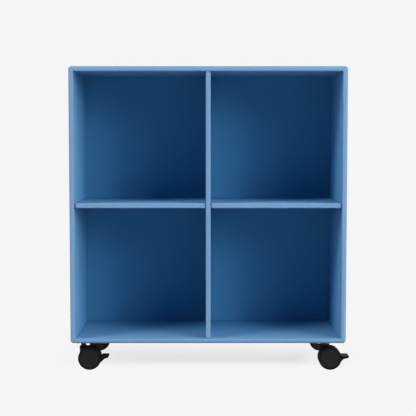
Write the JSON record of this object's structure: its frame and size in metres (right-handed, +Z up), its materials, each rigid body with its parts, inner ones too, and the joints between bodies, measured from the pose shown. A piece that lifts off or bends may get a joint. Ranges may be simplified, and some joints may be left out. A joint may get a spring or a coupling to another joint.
{
  "type": "storage module",
  "caption": "Open square storage module of blue lacquered board with compartments on both sides of a centre divider, rolling on black twin-wheel swivel castors with brake pedals at the front.",
  "frame": {"origin": "on the floor, under the middle of the case's width and depth", "axes": "+X to the right seen from the open front, +Y to the back, +Z up"},
  "size_m": [0.706, 0.3, 0.767],
  "materials": {
    "lacquered_board": "satin blue lacquer on fibreboard",
    "beech": "plain beech",
    "black_steel": "black powder coat",
    "zinc_plated_steel": "bright zinc plate",
    "spring_steel": "oiled spring steel",
    "black_nylon": "moulded black nylon",
    "black_wheel_plastic": "moulded black plastic",
    "black_tyre": "soft black tread"
  },
  "bodies": {
    "case": {"top_panel": "lacquered_board", "bottom_panel": "lacquered_board", "left_side_panel": "lacquered_board", "right_side_panel": "lacquered_board", "back_panel": "lacquered_board", "centre_divider": "lacquered_board", "left_shelf": "lacquered_board", "right_shelf": "lacquered_board", "corner_splines": "beech", "divider_dowels": "beech", "shelf_end_dowels": "beech", "shelf_through_dowels": "beech", "castor_screws": "zinc_plated_steel", "kingpin_rings": "spring_steel", "front_left_castor_plate": "black_steel", "front_left_kingpin": "black_steel", "front_right_castor_plate": "black_steel", "front_right_kingpin": "black_steel", "back_left_castor_plate": "black_steel", "back_left_kingpin": "black_steel", "back_right_castor_plate": "black_steel", "back_right_kingpin": "black_steel"},
    "front_left_castor": {"front_left_castor_housing": "black_nylon", "front_left_axle": "zinc_plated_steel", "front_left_pedal_pin": "zinc_plated_steel"},
    "front_left_near_wheel": {"front_left_near_wheel": "black_wheel_plastic", "front_left_near_tyre": "black_tyre"},
    "front_left_far_wheel": {"front_left_far_wheel": "black_wheel_plastic", "front_left_far_tyre": "black_tyre"},
    "front_left_brake_pedal": {"front_left_brake_pedal": "black_nylon"},
    "front_right_castor": {"front_right_castor_housing": "black_nylon", "front_right_axle": "zinc_plated_steel", "front_right_pedal_pin": "zinc_plated_steel"},
    "front_right_near_wheel": {"front_right_near_wheel": "black_wheel_plastic", "front_right_near_tyre": "black_tyre"},
    "front_right_far_wheel": {"front_right_far_wheel": "black_wheel_plastic", "front_right_far_tyre": "black_tyre"},
    "front_right_brake_pedal": {"front_right_brake_pedal": "black_nylon"},
    "back_left_castor": {"back_left_castor_housing": "black_nylon", "back_left_axle": "zinc_plated_steel"},
    "back_left_near_wheel": {"back_left_near_wheel": "black_wheel_plastic", "back_left_near_tyre": "black_tyre"},
    "back_left_far_wheel": {"back_left_far_wheel": "black_wheel_plastic", "back_left_far_tyre": "black_tyre"},
    "back_right_castor": {"back_right_castor_housing": "black_nylon", "back_right_axle": "zinc_plated_steel"},
    "back_right_near_wheel": {"back_right_near_wheel": "black_wheel_plastic", "back_right_near_tyre": "black_tyre"},
    "back_right_far_wheel": {"back_right_far_wheel": "black_wheel_plastic", "back_right_far_tyre": "black_tyre"}
  },
  "joints": [
    {"name": "front_left_swivel", "type": "hinge", "parent": "case", "child": "front_left_castor", "pos_m": [-0.3183, -0.119, 0.06], "axis": [0, 0, 1], "continuous": true},
    {"name": "front_left_near_spin", "type": "hinge", "parent": "front_left_castor", "child": "front_left_near_wheel", "pos_m": [-0.3019, -0.119, 0.02925], "axis": [0, 1, 0], "continuous": true},
    {"name": "front_left_far_spin", "type": "hinge", "parent": "front_left_castor", "child": "front_left_far_wheel", "pos_m": [-0.3019, -0.119, 0.02925], "axis": [0, 1, 0], "continuous": true},
    {"name": "front_left_brake", "type": "hinge", "parent": "front_left_castor", "child": "front_left_brake_pedal", "pos_m": [-0.28282, -0.119, 0.04117], "axis": [0, 1, 0], "range_deg": [0, 7]},
    {"name": "front_right_swivel", "type": "hinge", "parent": "case", "child": "front_right_castor", "pos_m": [0.294, -0.119, 0.06], "axis": [0, 0, 1], "continuous": true},
    {"name": "front_right_near_spin", "type": "hinge", "parent": "front_right_castor", "child": "front_right_near_wheel", "pos_m": [0.3104, -0.119, 0.02925], "axis": [0, 1, 0], "continuous": true},
    {"name": "front_right_far_spin", "type": "hinge", "parent": "front_right_castor", "child": "front_right_far_wheel", "pos_m": [0.3104, -0.119, 0.02925], "axis": [0, 1, 0], "continuous": true},
    {"name": "front_right_brake", "type": "hinge", "parent": "front_right_castor", "child": "front_right_brake_pedal", "pos_m": [0.32948, -0.119, 0.04117], "axis": [0, 1, 0], "range_deg": [0, 7]},
    {"name": "back_left_swivel", "type": "hinge", "parent": "case", "child": "back_left_castor", "pos_m": [-0.3183, 0.119, 0.06], "axis": [0, 0, 1], "continuous": true},
    {"name": "back_left_near_spin", "type": "hinge", "parent": "back_left_castor", "child": "back_left_near_wheel", "pos_m": [-0.3019, 0.119, 0.02925], "axis": [0, 1, 0], "continuous": true},
    {"name": "back_left_far_spin", "type": "hinge", "parent": "back_left_castor", "child": "back_left_far_wheel", "pos_m": [-0.3019, 0.119, 0.02925], "axis": [0, 1, 0], "continuous": true},
    {"name": "back_right_swivel", "type": "hinge", "parent": "case", "child": "back_right_castor", "pos_m": [0.294, 0.119, 0.06], "axis": [0, 0, 1], "continuous": true},
    {"name": "back_right_near_spin", "type": "hinge", "parent": "back_right_castor", "child": "back_right_near_wheel", "pos_m": [0.3104, 0.119, 0.02925], "axis": [0, 1, 0], "continuous": true},
    {"name": "back_right_far_spin", "type": "hinge", "parent": "back_right_castor", "child": "back_right_far_wheel", "pos_m": [0.3104, 0.119, 0.02925], "axis": [0, 1, 0], "continuous": true}
  ]
}
